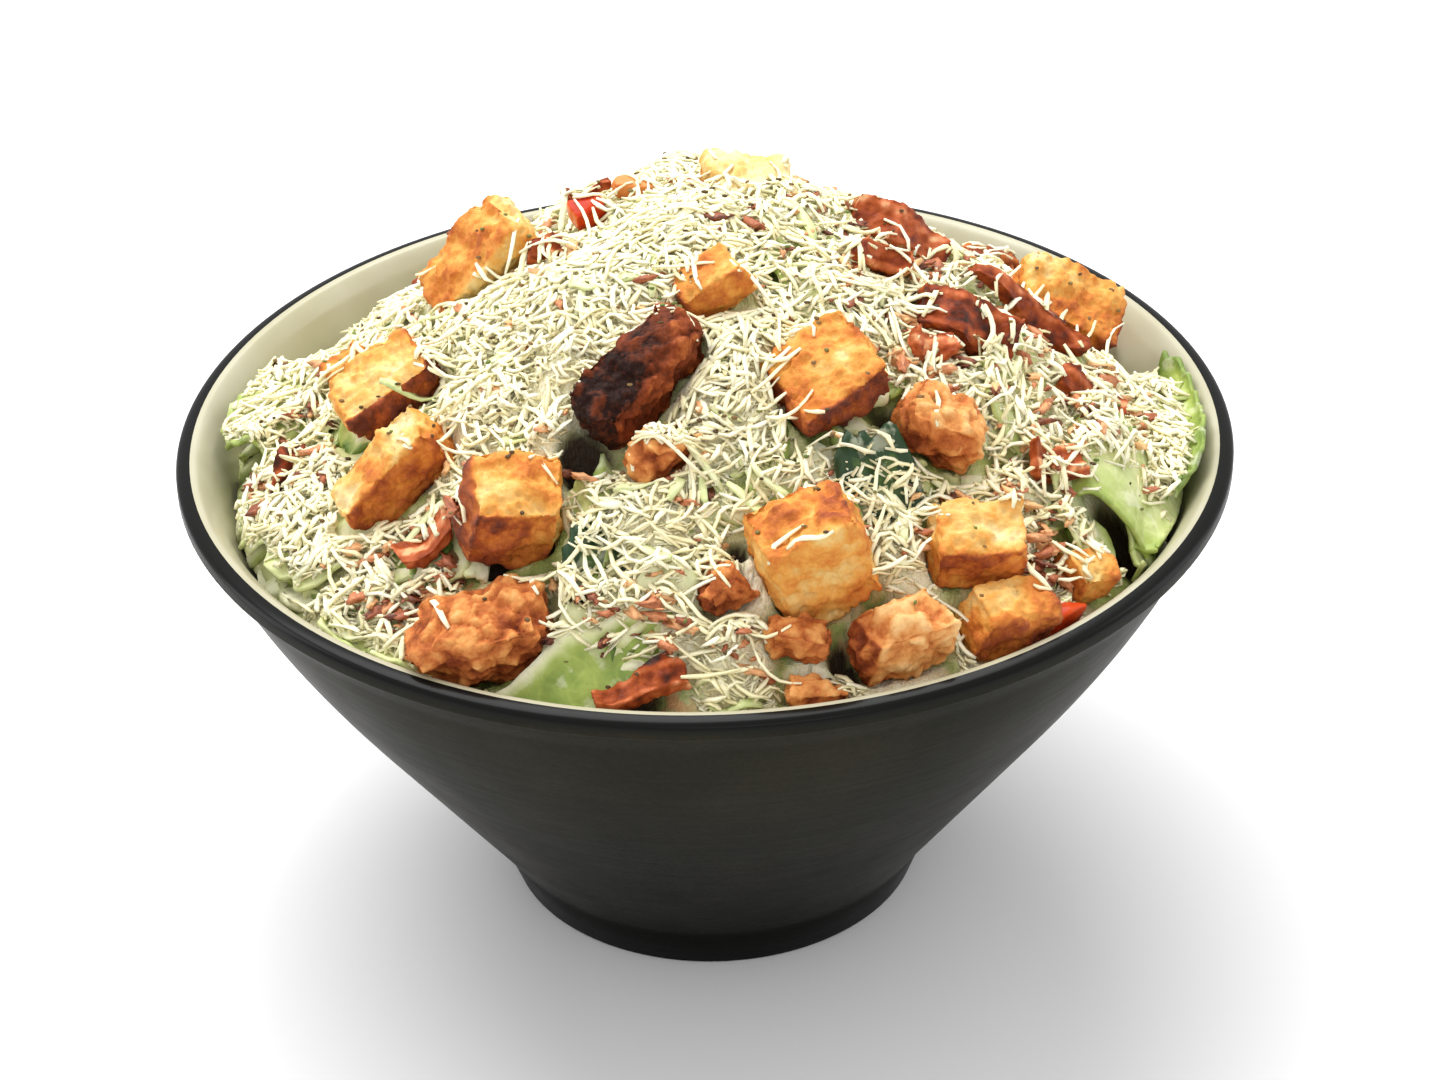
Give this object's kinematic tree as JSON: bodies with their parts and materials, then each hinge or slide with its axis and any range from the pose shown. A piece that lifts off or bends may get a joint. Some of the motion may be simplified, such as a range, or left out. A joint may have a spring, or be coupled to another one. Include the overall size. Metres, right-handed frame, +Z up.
{
  "type": "chicken caesar salad",
  "caption": "Chicken caesar salad heaped in a dark conical bowl on a narrow foot: romaine, croutons, crisp chicken, bacon and tomato under shredded cheese.",
  "frame": {"origin": "middle of the bowl's foot, on the surface that it stands on", "axes": "+Z up along the bowl's axis, -Y towards the side that is meant to be seen, +X to its right"},
  "size_m": [0.2, 0.2, 0.1464],
  "materials": {
    "stoneware": "satin dark grey glaze outside and on the rim, cream glaze inside",
    "romaine": "moist pale green leaf under grated cream-white cheese",
    "crouton": "dry golden fried bread, paler in the middle and browned at its edges",
    "chicken": "craggy fried crust, golden to dark brown",
    "bacon": "greasy red-brown with paler fat",
    "tomato": "wet red flesh"
  },
  "bodies": {
    "root": {"bowl": "stoneware", "salad": "romaine", "crouton_1": "crouton", "crouton_2": "crouton", "crouton_3": "crouton", "crouton_4": "crouton", "crouton_5": "crouton", "crouton_6": "crouton", "crouton_7": "crouton", "crouton_8": "crouton", "crouton_9": "crouton", "crouton_10": "crouton", "crouton_11": "crouton", "crouton_12": "crouton", "crouton_13": "crouton", "crouton_14": "crouton", "crouton_15": "crouton", "chicken_1": "chicken", "chicken_2": "chicken", "chicken_3": "chicken", "chicken_4": "chicken", "chicken_5": "chicken", "chicken_6": "chicken", "chicken_7": "chicken", "chicken_8": "chicken", "chicken_9": "chicken", "chicken_10": "chicken", "bacon_1": "bacon", "bacon_2": "bacon", "bacon_3": "bacon", "bacon_4": "bacon", "bacon_5": "bacon", "bacon_6": "bacon", "bacon_7": "bacon", "bacon_8": "bacon", "bacon_9": "bacon", "bacon_10": "bacon", "bacon_11": "bacon", "bacon_12": "bacon", "bacon_13": "bacon", "tomato_1": "tomato", "tomato_2": "tomato", "tomato_3": "tomato", "bacon_14": "bacon"}
  },
  "joints": []
}
